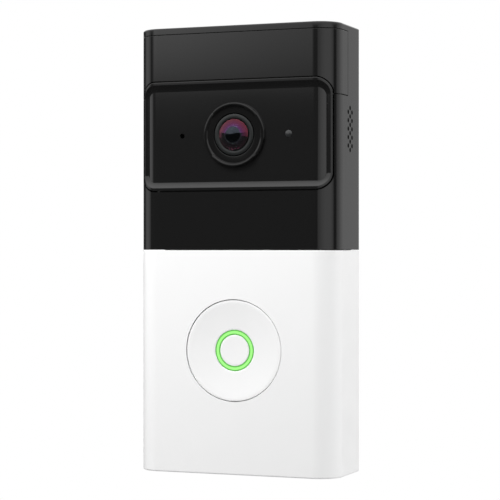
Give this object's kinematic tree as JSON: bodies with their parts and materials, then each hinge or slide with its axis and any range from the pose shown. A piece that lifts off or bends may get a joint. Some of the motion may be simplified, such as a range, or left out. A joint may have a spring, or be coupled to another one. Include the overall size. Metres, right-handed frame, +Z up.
{
  "type": "video doorbell",
  "caption": "Battery video doorbell: black camera half with recessed lens panel and side speaker grille over a white half with a dished, ring-lit button, hung on a wall plate",
  "frame": {"origin": "middle of the wall plate's back face, level with the seam between the black and the white half", "axes": "+Z up, +X to the right as seen from the front, +Y into the wall, so the camera and the button face -Y"},
  "size_m": [0.0668, 0.0251, 0.14],
  "materials": {
    "black_gloss": "gloss",
    "black_panel": "gloss",
    "white_satin": "satin",
    "black_satin": "satin",
    "grey_plastic": "matte",
    "lens_glass": "gloss",
    "clear_plastic": "gloss",
    "green_light": "satin",
    "rubber_black": "matte",
    "silicone": "matte",
    "foam": "matte",
    "circuit_board": "satin",
    "chip": "matte",
    "tin_plate": "satin",
    "steel_screw": "satin",
    "brass": "satin",
    "spring_steel": "satin",
    "battery_wrap": "satin",
    "led": "satin",
    "copper_film": "satin"
  },
  "bodies": {
    "plate": {"wall_plate": "black_satin", "latch_spring": "spring_steel", "latch_rivets": "steel_screw"},
    "doorbell": {"upper_housing": "black_gloss", "front_cap": "black_gloss", "camera_bezel": "black_gloss", "camera_panel": "black_panel", "panel_seal": "foam", "lens_hood": "black_satin", "lens_barrel": "grey_plastic", "front_lens": "lens_glass", "inner_lens": "lens_glass", "lens_retainer": "grey_plastic", "lens_holder": "black_satin", "image_sensor": "chip", "camera_board": "circuit_board", "ir_led_board": "circuit_board", "ir_leds": "led", "ir_board_screws": "steel_screw", "board_connector": "black_satin", "light_pipe": "clear_plastic", "light_sensor": "chip", "microphone": "tin_plate", "mic_boot": "rubber_black", "main_board": "circuit_board", "shield_cans": "tin_plate", "main_board_screws": "steel_screw", "setup_switch": "chip", "port_socket": "tin_plate", "port_tongue": "black_satin", "antenna": "copper_film", "speaker": "grey_plastic", "speaker_gasket": "foam", "speaker_mesh": "black_satin", "motion_sensor": "circuit_board", "lower_cover": "white_satin", "button_board": "circuit_board", "button_board_screws": "steel_screw", "tact_switch": "chip", "ring_leds": "led", "battery_cradle": "black_satin", "battery": "battery_wrap", "battery_pad": "foam", "rear_housing": "black_satin", "housing_seal": "rubber_black", "housing_screws": "steel_screw", "terminal_inserts": "brass", "terminal_plates": "brass", "return_pad": "silicone"},
    "button": {"button_cap": "white_satin", "light_ring": "green_light", "centre_cap": "white_satin", "switch_plunger": "black_satin"},
    "filter": {"filter_frame": "black_satin", "filter_glasses": "clear_plastic"},
    "port_cover": {"port_cover": "rubber_black"},
    "setup_button": {"setup_button": "grey_plastic"},
    "terminal_left": {"terminal_screw_left": "steel_screw"},
    "terminal_right": {"terminal_screw_right": "steel_screw"}
  },
  "joints": [
    {"name": "lift_off", "type": "slide", "parent": "plate", "child": "doorbell", "axis": [0, 0, 1], "range_m": [0, 0.007], "deforming": ["latch_spring"]},
    {"name": "button_press", "type": "slide", "parent": "doorbell", "child": "button", "axis": [0, 1, 0], "range_m": [0, 0.0005], "stiffness_N_per_m": 3000, "springref_m": -0.0003, "deforming": ["return_pad"]},
    {"name": "filter_shift", "type": "slide", "parent": "doorbell", "child": "filter", "axis": [1, 0, 0], "range_m": [0, 0.0055]},
    {"name": "port_cover_open", "type": "hinge", "parent": "doorbell", "child": "port_cover", "pos_m": [0, -0.0044, 0.0077], "axis": [-1, 0, 0], "range_deg": [0, 100], "stiffness_Nm_per_rad": 0.002, "springref_deg": -5.73},
    {"name": "setup_press", "type": "slide", "parent": "doorbell", "child": "setup_button", "axis": [0, -1, 0], "range_m": [0, 0.0003], "stiffness_N_per_m": 2500, "springref_m": -0.0002},
    {"name": "terminal_left_turn", "type": "hinge", "parent": "doorbell", "child": "terminal_left", "pos_m": [-0.007, -0.0034, -0.006], "axis": [0, 1, 0], "continuous": true},
    {"name": "terminal_right_turn", "type": "hinge", "parent": "doorbell", "child": "terminal_right", "pos_m": [0.007, -0.0034, -0.006], "axis": [0, 1, 0], "continuous": true}
  ]
}
